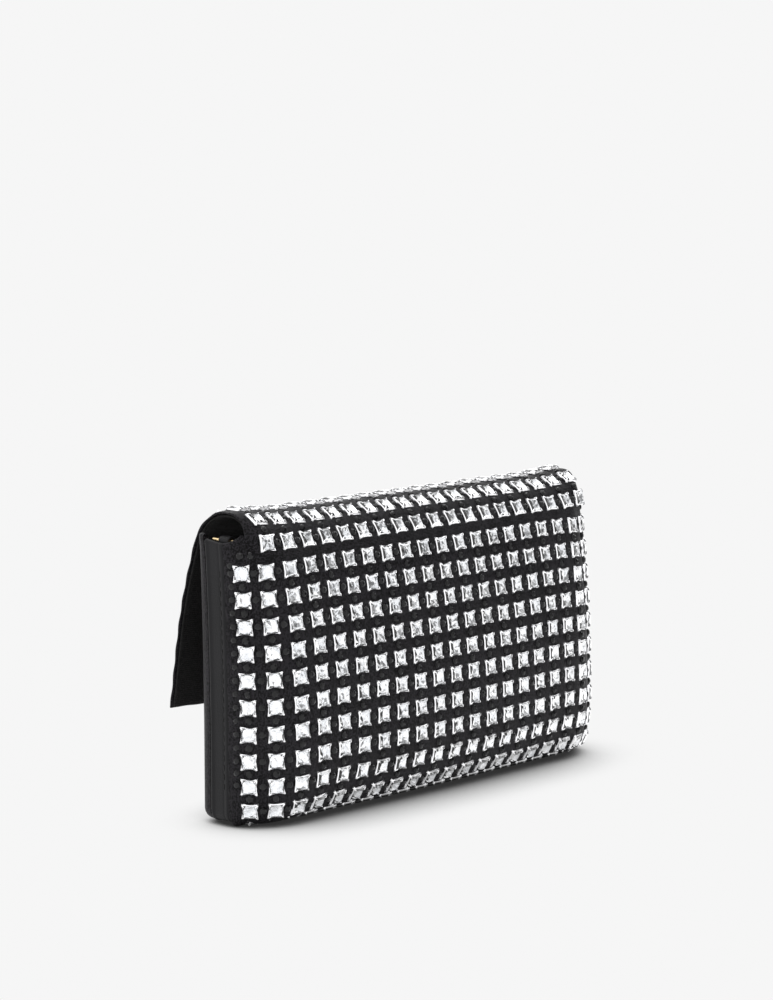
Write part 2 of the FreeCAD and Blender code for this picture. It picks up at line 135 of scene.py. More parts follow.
# Half of the body in plan: the crowned back, the wrap and the seam's corner, then the gusset and the front.
HALF_WIDTH = 95.0
CROWN, WRAP = 4.6, 64.9  # degrees that the back and its wrap turn
WRAP_RADIUS, SEAM_RADIUS, FRONT_CORNER = 26.8, 6.0, 6.6
wrap_reach = WRAP_RADIUS * (math.sin(math.radians(CROWN + WRAP)) - math.sin(math.radians(CROWN)))
seam_reach = SEAM_RADIUS * (1 - math.sin(math.radians(CROWN + WRAP)))
crown_radius = (HALF_WIDTH - wrap_reach - seam_reach) / math.sin(math.radians(CROWN))
corner_legs = [
    ("arc", CROWN, crown_radius),
    ("arc", WRAP, WRAP_RADIUS),
    ("arc", 90 - CROWN - WRAP, SEAM_RADIUS),
]
wrap_end_y = float(Outline((0.0, WAIST_Y), 180, corner_legs).vs[-1])
front_legs = [
    ("line", wrap_end_y - FRONT_PLANE - FRONT_CORNER),
    ("arc", 90, FRONT_CORNER),
    ("line", HALF_WIDTH - FRONT_CORNER),
]
plan = Outline((0.0, WAIST_Y), 180, corner_legs + front_legs)
SEAM_BACK = plan.marks[3] - 0.4  # the seam between the back cover and the gusset, along the plan outline
SEAM_FRONT = plan.marks[4] - 0.4
FOLD_SHARE = 0.972  # the fold and the flap are drawn in a little across
SETTLED = 0.991  # how much of its height the soft cloth keeps
WALL_DROP = 32.0  # the drop at which every wall has rounded into the base
GUSSET_RADIUS = 3.5  # of the bottom edge along the gussets, which is rounder under the covers


def smooth(value, low, high):
    """0 below low, 1 above high and a smooth step between."""
    share = np.clip((np.asarray(value, float) - low) / (high - low), 0, 1)
    return share * share * (3 - 2 * share)


def lean_share(run):
    """How much of the back's lean is left at a distance from its middle."""
    back = 1 - 0.604 * (np.minimum(np.abs(run), SEAM_BACK) / (10 * PITCH)) ** 3.37
    return back * (1 - smooth(np.abs(run), SEAM_FRONT, SEAM_FRONT + 12))


def droop(run):
    """The end columns sit lower, as the wraps sag."""
    sag = 1.5 * smooth(np.abs(run), 6.4 * PITCH, 10.2 * PITCH)
    return sag * (np.abs(run) < SEAM_BACK)


def swell(run, distance):
    """Height of the padded cloth between the stones, which pull it in."""
    across = np.cos(2 * math.pi * run / PITCH)
    along = np.cos(2 * math.pi * (distance - WAIST) / PITCH)
    return -0.16 * (across + along)


def body_surface(run, drop):
    """Skin of the body: run goes round in plan from the middle of the back, drop goes down from the waist."""
    run, drop = np.broadcast_arrays(np.asarray(run, float), np.asarray(drop, float))
    sign = np.where(run < 0, -1.0, 1.0)
    u, y, angle = plan.at(np.abs(run))
    x, out_x, out_y = -sign * u, -sign * np.sin(angle), -np.cos(angle)
    above, below = np.minimum(drop, 0), np.maximum(drop, 0)
    side_y, side_z, _ = side.at(WAIST - above)
    lean = lean_share(run) * (side_y - WAIST_Y)
    share = below / WALL_DROP
    low_y, low_z, _ = side.at(WAIST - below)
    rounder_end = 5.5 * (1 - smooth(np.abs(run), SEAM_BACK - 6, SEAM_BACK + 1))
    rounder_front = 3.5 * smooth(np.abs(run), SEAM_FRONT + 2, SEAM_FRONT + 14)
    end_inset, end_z = edge_profile(share, GUSSET_RADIUS + rounder_end)
    front_inset, front_z = edge_profile(share, GUSSET_RADIUS + rounder_front)
    centre = np.clip(1 - (np.abs(run) / 102.0) ** 3, 0, 1)
    front = smooth(np.abs(run), SEAM_FRONT, SEAM_FRONT + 14)
    inset = centre * (WAIST_Y - low_y) + (1 - centre) * ((1 - front) * end_inset + front * front_inset)
    z_low = centre * low_z + (1 - centre) * ((1 - front) * end_z + front * front_z)
    z = np.where(drop > 0, z_low, side_z)
    return np.stack([x - out_x * inset, y + lean - out_y * inset, (z - droop(run)) * SETTLED], -1)


def profile_length(radius):
    """Length of a wall from the waist to the end of its rounding into the base."""
    return WAIST_Z - BASE_Z + (math.pi / 2 - 1) * radius


def edge_profile(share, radius):
    """Inset and height of a wall that goes down from the waist and rounds into the base."""
    run = share * profile_length(radius)
    straight = WAIST_Z - BASE_Z - radius
    angle = np.clip((run - straight) / radius, 0, math.pi / 2)
    z = np.where(run < straight, WAIST_Z - run, BASE_Z + radius * (1 - np.sin(angle)))
    return radius * (1 - np.cos(angle)), z


def fold_surface(run, distance):
    """Skin of the fold and the flap: run goes across from the middle, distance along the side outline."""
    run, distance = np.broadcast_arrays(np.asarray(run, float), np.asarray(distance, float))
    side_y, side_z, _ = side.at(distance)
    down_flap = np.clip((distance - FLAP_SPLIT) / (side.length - FLAP_SPLIT), 0, 1)
    curl = 1.6 * smooth(np.abs(run), 60, 92) * smooth(distance, FLAP_SPLIT + 20, side.length)
    curl = curl - 1.7 * np.sin(math.pi * down_flap)  # the corners turn in and the middle bellies out
    lift = 1.3 * smooth(np.abs(run), 66, 92)  # the fold stands a little higher at its ends
    free = np.stack([run * FOLD_SHARE, side_y + curl, side_z * SETTLED + lift], -1)
    joined = body_surface(run, WAIST - distance)
    start = BACK_SPLIT - 4 + 9 * smooth(np.abs(run), 86.6, 91)
    share = smooth(distance - start, 0, 15)[..., None]
    return joined + (free - joined) * share


# ------------------------------------------------------------------ meshes


def mesh_object(name, points, faces, material, uvs=None, flat=False):
    """An object from points in millimetres. uvs holds one pair for each point."""
    mesh = bpy.data.meshes.new(name)
    mesh.from_pydata((np.asarray(points) * MM).tolist(), [], faces)
    mesh.materials.append(material)
    mesh.polygons.foreach_set("use_smooth", [not flat] * len(mesh.polygons))
    if uvs is not None:
        layer = mesh.uv_layers.new(name="cloth")
        corners = np.empty(len(mesh.loops), int)
        mesh.loops.foreach_get("vertex_index", corners)
        layer.data.foreach_set("uv", np.asarray(uvs, float)[corners].ravel())
    mesh.update()
    piece = bpy.data.objects.new(name, mesh)
    bpy.context.scene.collection.objects.link(piece)
    return piece


def tidy_mesh(piece):
    """Merge doubled points and make the faces look outwards."""
    work = bmesh.new()
    work.from_mesh(piece.data)
    bmesh.ops.remove_doubles(work, verts=work.verts, dist=2e-6)
    bmesh.ops.dissolve_degenerate(work, edges=work.edges, dist=1e-6)
    bmesh.ops.recalc_face_normals(work, faces=work.faces)
    work.to_mesh(piece.data)
    work.free()
    piece.data.update()
    piece.data.set_sharp_from_angle(angle=math.radians(55))


def unit(vectors):
    return vectors / np.maximum(np.linalg.norm(vectors, axis=-1, keepdims=True), 1e-9)


def surface_normals(points, outward):
    """Normals of a grid of points, on the side that outward, a function of the points, says."""
    normals = unit(np.cross(np.gradient(points, axis=0), np.gradient(points, axis=1)))
    wrong = np.sum(normals * outward(points), -1) < 0
    if np.mean(wrong) > 0.5:
        normals = -normals
    near_table = points[..., 2] < 4.0  # where the skins fold over at a corner and all face downwards
    tucked = near_table & (normals[..., 2] > 0) & (np.abs(outward(points)[..., 2]) > 0)
    return np.where(tucked[..., None], -normals, normals)


ROLL = np.radians([30, 60, 90, 120, 150, 180])
TABLE_GAP = 0.1  # no cloth or stone reaches lower than this above the table


def shell(name, surface, us, vs, thickness, material, body, outward, rolled="", depth=0.0, relief=None):
    """A closed sheet on a surface. rolled names the edges that are rounded: l, r, b and t.

    depth moves the whole sheet inwards, and relief(u, v) raises its outer face. A sheet without a body is
    left unattached.
    """
    us, vs = np.asarray(us, float), np.asarray(vs, float)
    grid_u, grid_v = np.meshgrid(us, vs, indexing="ij")
    skin = surface(grid_u, grid_v)
    normals = surface_normals(skin, outward)
    skin = skin - normals * depth
    outer = skin + normals * (relief(grid_u, grid_v)[..., None] if relief else 0.0)
    inner = skin - normals * thickness
    half = (outer - inner) / 2
    middle = (outer + inner) / 2
    along_u, along_v = unit(np.gradient(skin, axis=0)), unit(np.gradient(skin, axis=1))

    def extended(count, low, high):
        """Index, angle round the rolled edge and side of it, for each row of the sheet's outer face."""
        before = [(0, angle, -1) for angle in ROLL[::-1]] if low else []
        after = [(count - 1, angle, 1) for angle in ROLL] if high else []
        return before + [(i, 0.0, 0) for i in range(count)] + after

    rows = np.array(extended(len(us), "l" in rolled, "r" in rolled))
    columns = np.array(extended(len(vs), "b" in rolled, "t" in rolled))
    pick = tuple(np.meshgrid(rows[:, 0].astype(int), columns[:, 0].astype(int), indexing="ij"))
    angle_u, angle_v = np.meshgrid(rows[:, 1], columns[:, 1], indexing="ij")
    sign_u, sign_v = np.meshgrid(rows[:, 2], columns[:, 2], indexing="ij")
    away = along_u[pick] * (sign_u * angle_u)[..., None] + along_v[pick] * (sign_v * angle_v)[..., None]
    away = np.where(np.linalg.norm(away, axis=-1, keepdims=True) > 0, unit(away), 0)
    angle = np.maximum(angle_u, angle_v)[..., None]
    reach = np.linalg.norm(half[pick], axis=-1, keepdims=True)
    face = middle[pick] + half[pick] * np.cos(angle) + away * reach * np.sin(angle)
    back = inner[pick]
    shape = face.shape[:2]
    points = np.concatenate([face.reshape(-1, 3), back.reshape(-1, 3)])
    points[:, 2] = np.maximum(points[:, 2], TABLE_GAP)
    uv = np.stack([us[pick[0]], vs[pick[1]]], -1).reshape(-1, 2)
    ids = np.arange(shape[0] * shape[1]).reshape(shape)
    quads = np.stack([ids[:-1, :-1], ids[1:, :-1], ids[1:, 1:], ids[:-1, 1:]], -1).reshape(-1, 4)
    offset = shape[0] * shape[1]
    faces = quads.tolist() + (quads[:, ::-1] + offset).tolist()
    rim = np.concatenate([ids[:, 0], ids[-1, 1:], ids[-2::-1, -1], ids[0, -2:0:-1]])
    following = np.roll(rim, -1)
    faces += np.stack([following, rim, rim + offset, following + offset], -1).tolist()
    piece = mesh_object(name, points, faces, material, uvs=np.concatenate([uv, uv]) / 10.0)
    tidy_mesh(piece)
    if body:
        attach(piece, body)
    return piece


# ------------------------------------------------------------------ materials


def new_material(name):
    material = bpy.data.materials.new(name)
    material.use_nodes = True
    shader = material.node_tree.nodes["Principled BSDF"]
    return material, material.node_tree, shader


def node(tree, kind, **values):
    made = tree.nodes.new(kind)
    for key, value in values.items():
        if key in made.inputs:
            made.inputs[key].default_value = value
        else:
            setattr(made, key, value)
    return made


def texture(tree, kind, source, **values):
    """A texture node fed by a coordinate."""
    made = node(tree, kind, **values)
    tree.links.new(source, made.inputs["Vector"])
    return made


def map_range(tree, source, low, high, **values):
    """A value mapped from 0 to 1 onto low to high."""
    made = node(tree, "ShaderNodeMapRange", **values)
    made.inputs["To Min"].default_value, made.inputs["To Max"].default_value = low, high
    tree.links.new(source, made.inputs["Value"])
    return made.outputs[0]


def arithmetic(tree, operation, *sources):
    """One step of arithmetic on numbers and sockets."""
    made = node(tree, "ShaderNodeMath", operation=operation)
    for socket, source in zip(made.inputs, sources):
        if isinstance(source, (int, float)):
            socket.default_value = source
        else:
            tree.links.new(source, socket)
    return made.outputs[0]


def ramp(tree, source, stops):
    """A colour ramp over a value."""
    made = tree.nodes.new("ShaderNodeValToRGB")
    while len(made.color_ramp.elements) < len(stops):
        made.color_ramp.elements.new(0.5)
    for element, (position, colour) in zip(made.color_ramp.elements, stops):
        element.position, element.color = position, (*colour, 1.0)
    tree.links.new(source, made.inputs[0])
    return made.outputs["Color"]


def cloth(name, dark, light, thread, roughness, sheen, bump, uses_uv=True):
    """Woven cloth: warp and weft threads of a size in millimetres, with a little unevenness of colour and a
    fine speckle in it that is partly painted sparkle of the weave.
    """
    material, tree, shader = new_material(name)
    place = tree.nodes.new("ShaderNodeTexCoord")
    source = place.outputs["UV" if uses_uv else "Object"]
    scale = (10.0 if uses_uv else 1000.0) / thread / 6.283
    waves = [
        texture(tree, "ShaderNodeTexWave", source, bands_direction=direction, Scale=scale, Distortion=0.6)
        for direction in ("X", "Y")
    ]
    weave = arithmetic(tree, "MULTIPLY", *(wave.outputs["Fac"] for wave in waves))
    wide = texture(tree, "ShaderNodeTexNoise", place.outputs["Object"], Scale=45.0, Detail=3.0)
    fine = texture(tree, "ShaderNodeTexNoise", place.outputs["Object"], Scale=1700.0, Detail=2.0)
    even = map_range(tree, wide.outputs["Fac"], 0.4, 0.6)
    # The fine noise speckles the colour as well as the bump: partly random tone, partly painted sparkle of
    # the weave.
    tone_and_painted_sparkle = arithmetic(tree, "ADD", fine.outputs["Fac"], even)
    usual = tuple((low + high) * 0.22 for low, high in zip(dark, light))
    colour = ramp(tree, tone_and_painted_sparkle, [(0.8, dark), (1.0, usual), (1.3, light)])
    tree.links.new(colour, shader.inputs["Base Color"])
    shader.inputs["Roughness"].default_value = roughness
    shader.inputs["Specular IOR Level"].default_value = 0.1
    shader.inputs["Sheen Weight"].default_value = sheen
    shader.inputs["Sheen Roughness"].default_value = 0.4
    height = arithmetic(tree, "MULTIPLY_ADD", fine.outputs["Fac"], 0.8, weave)
    relief = node(tree, "ShaderNodeBump", Strength=bump, Distance=0.0002)
    tree.links.new(height, relief.inputs["Height"])
    tree.links.new(relief.outputs[0], shader.inputs["Normal"])
    return material


def leather_material(name, dark, light, roughness):
    """Smooth leather with a fine pebbled grain."""
    material, tree, shader = new_material(name)
    place = tree.nodes.new("ShaderNodeTexCoord").outputs["Object"]
    grain = texture(tree, "ShaderNodeTexVoronoi", place, Scale=1700.0, Randomness=0.9)
    soft = texture(tree, "ShaderNodeTexNoise", place, Scale=60.0, Detail=4.0).outputs["Fac"]
    tree.links.new(ramp(tree, soft, [(0.3, dark), (0.75, light)]), shader.inputs["Base Color"])
    tree.links.new(map_range(tree, soft, roughness - 0.06, roughness + 0.08), shader.inputs["Roughness"])
    shader.inputs["Specular IOR Level"].default_value = 0.2
    relief = node(tree, "ShaderNodeBump", Strength=0.25, Distance=0.0002)
    tree.links.new(grain.outputs["Distance"], relief.inputs["Height"])
    tree.links.new(relief.outputs[0], shader.inputs["Normal"])
    return material


def metal_material(name, dark, light, roughness, scale=300.0):
    """Plated metal, a little uneven in colour and polish."""
    material, tree, shader = new_material(name)
    place = tree.nodes.new("ShaderNodeTexCoord").outputs["Object"]
    noise = texture(tree, "ShaderNodeTexNoise", place, Scale=scale, Detail=3.0).outputs["Fac"]
    tree.links.new(ramp(tree, noise, [(0.3, dark), (0.7, light)]), shader.inputs["Base Color"])
    tree.links.new(map_range(tree, noise, roughness * 0.7, roughness * 1.4), shader.inputs["Roughness"])
    shader.inputs["Metallic"].default_value = 1.0
    return material


satin = cloth(
    "black_satin", dark=(0.0002, 0.0002, 0.0003), light=(0.0165, 0.0152, 0.018),
    thread=0.28, roughness=0.45, sheen=0.014, bump=0.8,
)
lining_cloth = cloth(
    "lining_cloth", dark=(0.007, 0.0068, 0.0068), light=(0.012, 0.0116, 0.0116),
    thread=0.4, roughness=0.75, sheen=0.04, bump=0.5,
)
thread_cloth = cloth(
    "thread", dark=(0.008, 0.008, 0.008), light=(0.016, 0.016, 0.016),
    thread=0.15, roughness=0.6, sheen=0.1, bump=0.5, uses_uv=False,
)
leather = leather_material("black_leather", (0.003, 0.003, 0.0038), (0.0062, 0.006, 0.0072), 0.45)
gold = metal_material("pale_gold", (0.80, 0.60, 0.33), (0.88, 0.69, 0.40), 0.14)
nickel = metal_material("nickel", (0.34, 0.335, 0.33), (0.46, 0.455, 0.45), 0.3)
silver = metal_material("silver_claws", (0.86, 0.86, 0.88), (0.95, 0.95, 0.96), 0.16)
foil = metal_material("crystal_foil", (0.72, 0.73, 0.75), (0.98, 0.98, 0.99), 0.05, scale=420.0)


def stone_material(name, scale, stops, **values):
    """A cut stone whose colour varies a little, with numbers for the shader's own sockets."""
    material, tree, shader = new_material(name)
    place = tree.nodes.new("ShaderNodeTexCoord").outputs["Object"]
    noise = texture(tree, "ShaderNodeTexNoise", place, Scale=scale, Detail=2.0).outputs["Fac"]
    tree.links.new(ramp(tree, noise, stops), shader.inputs["Base Color"])
    for socket, value in values.items():
        shader.inputs[socket.replace("_", " ")].default_value = value
    return material


crystal = stone_material(
    "clear_crystal", 240.0, [(0.3, (0.95, 0.96, 0.97)), (0.7, (1.0, 1.0, 1.0))],
    Transmission_Weight=1.0, IOR=1.56, Roughness=0.0,
)
black_stone = stone_material(
    "black_stone", 400.0, [(0.35, (0.001, 0.001, 0.0015)), (0.7, (0.004, 0.004, 0.005))],
    Roughness=0.06, Specular_IOR_Level=0.25, IOR=1.58,
)

# ------------------------------------------------------------------ skins

BASE_DROP = 31.9  # where the covers end, just short of the end of their rounding into the base
LINED_DROP = 31.5
WRAP_TOP, GUSSET_TOP, FRONT_TOP, LINING_TOP = 102.4, 99.2, 96.2, 94.5  # heights of the top edges
SIDES = (("left", -1), ("right", 1))


def spread(low, high, step=1.35):
    """Evenly spaced values from low to high, about a step apart."""
    return np.linspace(low, high, max(2, int(round((high - low) / step)) + 1))


def back_outward(points):
    """Away from the middle of the body."""
    return points - np.array([0.0, -3.0, 50.0])


FOLD_START = BACK_SPLIT - 4.0  # where the back's skin hands over to the fold's
FOLD_RUN = 9.62 * PITCH  # half of the fold's cloth, along the plan outline
rising = slice(int(side.marks[4] / side.STEP), int((side.marks[7] + 12.0) / side.STEP))


def drop_at_height(z, run=None):
    """The drop, negative above the waist, at which the body's skin reaches a height."""
    height = np.asarray(z, float) / SETTLED + (0.0 if run is None else droop(run))
    return WAIST - np.interp(height, side.vs[rising], side.runs[rising])


def back_top(run):
    """Drop of the top edge of the back's skin: the wraps stand up beside the fold."""
    wrap = drop_at_height(WRAP_TOP - 2.9 * smooth(np.abs(run), FOLD_RUN - 1.5, SEAM_BACK - 1), run)
    return np.where(np.abs(run) > FOLD_RUN + 0.01, wrap, WAIST - FOLD_START)


def back_surface(run, rise):
    """The back cover with its wraps, in one piece."""
    return body_surface(run, back_top(run) + (BASE_DROP - back_top(run)) * rise)


def back_relief(run, rise):
    """Padding between the stones, which ends where the skin rounds into the base."""
    drop = back_top(run) + (BASE_DROP - back_top(run)) * rise
    return swell(run, WAIST - drop) * (1 - smooth(drop, 14, 24))


COVER = 2.2  # thickness of a cover glued onto its board
wrap_runs = spread(FOLD_RUN + 0.05, SEAM_BACK, 0.8)
back_runs = np.concatenate([-wrap_runs[::-1], spread(-FOLD_RUN, FOLD_RUN), wrap_runs])
shell("satin_back", back_surface, back_runs, np.linspace(0, 1, 86), COVER, satin, "body", back_outward,
      rolled="b", relief=back_relief)

GUSSET_WIDTH = SEAM_FRONT - SEAM_BACK
STITCH_LINE = 2.3  # from the seam at the back


def gusset_surface(run, rise):
    """The leather strip between the covers, its top edge rising towards the front."""
    top = drop_at_height(GUSSET_TOP + (np.abs(run) - SEAM_BACK) / GUSSET_WIDTH)
    return body_surface(run, top + (LINED_DROP - top) * rise)


def gusset_relief(run, _):
    """Sunk seam at the back, a line of stitches and a rolled edge at the front."""
    across = np.abs(run) - SEAM_BACK
    seam = -0.55 * (1 - smooth(across, 0.0, 0.9))
    stitched = -0.14 * np.exp(-(((across - STITCH_LINE) / 0.35) ** 2))
    roll = 0.35 * np.exp(-(((across - GUSSET_WIDTH + 1.1) / 0.8) ** 2))
    return seam + stitched + roll - 0.5 * smooth(across, GUSSET_WIDTH - 0.5, GUSSET_WIDTH)


for label, sign in SIDES:
    runs = spread(*sorted((sign * SEAM_BACK, sign * SEAM_FRONT)), 0.32)
    shell(f"gusset_{label}", gusset_surface, runs, np.linspace(0, 1, 70), COVER, leather, "body",
          back_outward, rolled="b", relief=gusset_relief)

front_half = plan.length - SEAM_FRONT


def front_surface(run, rise):
    """The front cover: run goes across from the middle. Its top edge is highest at the corners."""
    sign = np.where(run < 0, -1.0, 1.0)
    round_plan = sign * (plan.length - np.abs(run))
    top = drop_at_height(FRONT_TOP + 5.6 * smooth(np.abs(run), 87, 93))
    return body_surface(round_plan, top + (BASE_DROP - top) * rise)


def front_relief(run, rise):
    """Padding between the rows of stones low on the front."""
    studded = smooth(rise, 0.6, 0.7) * (1 - smooth(rise, 0.9, 0.97)) * (1 - smooth(np.abs(run), 82, 89))
    return (swell(run, WAIST + 4.0 + 106 * rise) + 0.1) * studded


front_runs = spread(-front_half, front_half, 1.2)
shell("satin_front", front_surface, front_runs, np.linspace(0, 1, 84), COVER, satin, "body", back_outward,
      rolled="b", relief=front_relief)

MIDDLE_LINE_Y, MIDDLE_LINE_REACH = -3.0, 74.0


def towards_middle(edge, share):
    """From the edge of the base to its middle line, which stops short of the ends."""
    centre_x = np.clip(edge[..., 0], -MIDDLE_LINE_REACH, MIDDLE_LINE_REACH)
    centre = np.stack([centre_x, MIDDLE_LINE_Y + 0 * centre_x, edge[..., 2]], -1)
    return edge + (centre - edge) * share[..., None]


def downwards(points):
    return points * 0 + np.array([0.0, 0.0, -1.0])


def base_surface(turn, share):
    """The flat of the base: turn goes round the plan outline, share from its edge to the middle line."""
    return towards_middle(body_surface(turn, BASE_DROP + 0 * share), share)


round_turns = np.linspace(-plan.length, plan.length, 300)
shell("satin_base", base_surface, round_turns, np.linspace(0, 1, 14), 1.2, satin, "body", downwards)

# The lining of the pouch is one bag of cloth inside the covers.
LINING = 0.6


def lining_surface(turn, rise):
    """Inside of the pouch, from the mouth down."""
    ends = smooth(np.abs(turn), FOLD_RUN - 1, FOLD_RUN + 1) * (np.abs(turn) < SEAM_FRONT + 4)
    top = drop_at_height(LINING_TOP + 3.0 * ends)
    return body_surface(turn, top + (LINED_DROP - top) * rise)


def lining_floor(turn, share):
    """The bottom of the bag, which stays a hair short of its middle line."""
    return towards_middle(lining_surface(turn, 1.0 + 0 * share), share * 0.999)


shell("lining_pouch", lining_surface, round_turns, np.linspace(0, 1, 60), LINING, lining_cloth, "body",
      back_outward, rolled="b", depth=2.25)
shell("lining_floor", lining_floor, round_turns, np.linspace(0.02, 1, 12), LINING, lining_cloth, "body",
      downwards, depth=2.0)

# The cloth goes on from the back over the fold and down the flap, in two sheets that meet on top of the fold.
FOLD_TOP = BACK_SPLIT + 2 * PITCH
FLAP_END = side.length + 1.0


def fold_outward(points):
    """Away from the middle of the space under the fold and the flap."""
    return points - np.array([0.0, -8.0, 70.0])


def flap_outward(points):
    """Up and to the front, the side on which the flap has its stones."""
    return points * 0 + np.array([0.0, -1.0, 0.6])


def fold_relief(run, distance):
    """Padding between the stones of the fold and the flap, which are drawn together across."""
    return swell(run * PITCH / 9.36, distance)


FOLD_CLOTH = 0.9
fold_sheets = []
for name, depth, material, trim, relief in (
    ("satin", 0.0, satin, 0.0, fold_relief),
    ("lining", 1.15, lining_cloth, 0.7, None),
):
    runs = spread(-FOLD_RUN + trim, FOLD_RUN - trim)
    over, down = spread(FOLD_START, FOLD_TOP, 1.2), spread(FOLD_TOP, FLAP_END - trim, 1.2)
    rear = shell(f"{name}_fold", fold_surface, runs, over, FOLD_CLOTH, material, None, fold_outward,
                 rolled="lr", depth=depth, relief=relief)
    front = shell(f"{name}_flap", fold_surface, runs, down, FOLD_CLOTH, material, None, flap_outward,
                  rolled="lrt", depth=depth, relief=relief)
    fold_sheets.append((rear, front))

# ------------------------------------------------------------------ inside the pouch


def towards_front(points):
    return points * 0 + np.array([0.0, -1.0, 0.0])


def divider_surface(x, z):
    """The cloth wall between the two compartments, with a faint wave along its top edge."""
    wave = 0.25 * np.sin(x / 21.0) * smooth(z, 50, 90)
    return np.stack([x, 1.0 + wave, z], -1)


POUCH_HALF = 89.0
divider_xs = np.linspace(-POUCH_HALF, POUCH_HALF, 60)
shell("cloth_divider", divider_surface, divider_xs, np.linspace(7.2, 90.0, 30), 0.9, lining_cloth, "body",
      towards_front, rolled="lrbt")


def panel_relief(x, rise):
    """A card panel sewn down at its ends and its middle, with a turned and stitched edge at its mouth."""
    sewn = -0.3 * np.exp(-((x / 0.7) ** 2)) - 0.25 * np.exp(-(((np.abs(x) - 87.0) / 0.7) ** 2))
    hem = 0.12 * smooth(rise, 0.93, 0.94) - 0.16 * np.exp(-(((rise - 0.925) / 0.008) ** 2))
    return sewn + hem


PANEL_FOOT = 13.2
panel_xs = np.linspace(-POUCH_HALF, POUCH_HALF, 180)
for label, front_y, mouth in (("top", -0.6, 66.0), ("middle", -2.2, 54.0), ("bottom", -3.8, 42.0)):

    def panel_surface(x, rise, front_y=front_y, mouth=mouth):
        """Each panel bows out a little between its seams."""
        bow = 0.2 * np.abs(np.sin(math.pi * x / 88.5)) * rise
        return np.stack([x, front_y + 0.3 - bow, PANEL_FOOT + (mouth - PANEL_FOOT) * rise], -1)

    shell(f"card_panel_{label}", panel_surface, panel_xs, np.linspace(0, 1, 110), 0.7, leather, "body",
          towards_front, rolled="lrbt", relief=panel_relief)

BAR_X, BAR_Y, BAR_Z = 90.4, -6.2, 100.3  # the bar of a ring, which its strap goes round
TAB_LEG, TAB_RADIUS = 18.5, 2.2
TAB_TURN = TAB_RADIUS * math.pi
tab_runs = np.linspace(0, 2 * TAB_LEG + TAB_TURN, 90)
for label, sign in SIDES:

    def tab_surface(across, run, sign=sign):
        """A strap that comes up inside the gusset, goes round the bar of the ring and down again."""
        turn = np.clip((run - TAB_LEG) / TAB_RADIUS, 0, math.pi)
        leg = np.where(run < TAB_LEG, TAB_LEG - run, np.maximum(run - TAB_LEG - TAB_TURN, 0))
        x = BAR_X + TAB_RADIUS * np.cos(turn)
        z = BAR_Z + TAB_RADIUS * np.sin(turn) - leg
        return np.stack([sign * x, BAR_Y + across, z], -1)

    def tab_outward(points, sign=sign):
        """Away from the space between the strap's legs."""
        return points - np.array([sign * BAR_X, 0.0, BAR_Z - 9.0])

    shell(f"ring_strap_{label}", tab_surface, np.linspace(-2.0, 2.0, 10), tab_runs, 0.9, leather, "body",
          tab_outward, rolled="lr")


for rear, front in fold_sheets:
    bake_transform(rear)
    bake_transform(front)

# ------------------------------------------------------------------ stones


def ring_points(half, height, concave=0.0, per_side=3):
    """A square outline whose sides bow inwards by concave, counted from a corner."""
    points = []
    for corner in range(4):
        angle = math.pi / 2 * corner
        for step in range(per_side):
            share = step / per_side
            across = half * (1 - 2 * share)
            inward = half - concave * (1 - (2 * share - 1) ** 2)
            x = across * math.cos(angle) - inward * math.sin(angle)
            y = across * math.sin(angle) + inward * math.cos(angle)
            points.append((x, y, height))
    return points


def circle(radius, height, count=8, shift=0.0):
    """Points of a circle at a height, turned by a share of a step."""
    angles = [math.tau * (i + shift) / count for i in range(count)]
    return [(radius * math.cos(angle), radius * math.sin(angle), height) for angle in angles]


def eight_points(corner, middle, height):
    """Corners of a square and the middles of its sides, counted from a corner."""
    return [
        (corner, corner, height), (0, middle, height), (-corner, corner, height), (-middle, 0, height),
        (-corner, -corner, height), (0, -middle, height), (corner, -corner, height), (middle, 0, height),
    ]


def stack_rings(rings):
    """Points and faces of a closed form: rings with the same number of points that stand on each other."""
    points = [p for ring in rings for p in ring]
    count = len(rings[0])
    faces = []
    for level in range(len(rings) - 1):
        for i in range(count):
            a, b = level * count + i, level * count + (i + 1) % count
            faces.append((a, b, b + count, a + count))
    faces.append(tuple(reversed(range(count))))
    faces.append(tuple(range((len(rings) - 1) * count, len(rings) * count)))
    return points, faces


def claw_setting():
    """Silvered cup with bowed-in sides and four claws that come over the corners of the stone."""
    rings = [
        ring_points(2.95, -0.3, 0.2),
        ring_points(3.08, 0.25, 0.28),
        ring_points(3.0, 0.62, 0.34),
        ring_points(2.55, 0.95, 0.12),
        ring_points(2.35, 0.5, 0.1),
        ring_points(2.3, -0.25, 0.1),
    ]
    points, faces = stack_rings(rings)
    for corner in range(4):
        turn = Matrix.Rotation(math.pi / 2 * corner + math.pi / 4, 3, "Z")
        claw = []
        for out, height, width in ((4.15, 0.2, 0.4), (3.98, 0.9, 0.34), (3.35, 1.3, 0.28), (2.8, 1.42, 0.15)):
            for side_sign, lift in ((-1, 0.0), (0, 0.17), (1, 0.0)):
                claw.append(tuple(turn @ Vector((out, side_sign * width, height + lift))))
        claw.append(tuple(turn @ Vector((3.1, 0, 0.2))))
        start = len(points)
        points += claw
        for level in range(3):
            for i in range(2):
                a = start + level * 3 + i
                faces.append((a, a + 1, a + 4, a + 3))
        hub = start + 12
        faces += [(start, start + 3, hub), (start + 3, start + 6, hub), (start + 6, start + 9, hub)]
        faces += [(start + 5, start + 2, hub), (start + 8, start + 5, hub), (start + 11, start + 8, hub)]
        faces += [(start + 1, start, hub), (start + 2, start + 1, hub)]
        faces += [(start + 9, start + 10, hub), (start + 10, start + 11, hub)]
    return points, faces


def crystal_top():
    """Clear crown: a girdle, bevelled facets and a table."""
    girdle = [eight_points(2.45, 2.45, height) for height in (0.58, 0.9)]
    return stack_rings(girdle + [eight_points(1.5, 1.66, 1.5)])


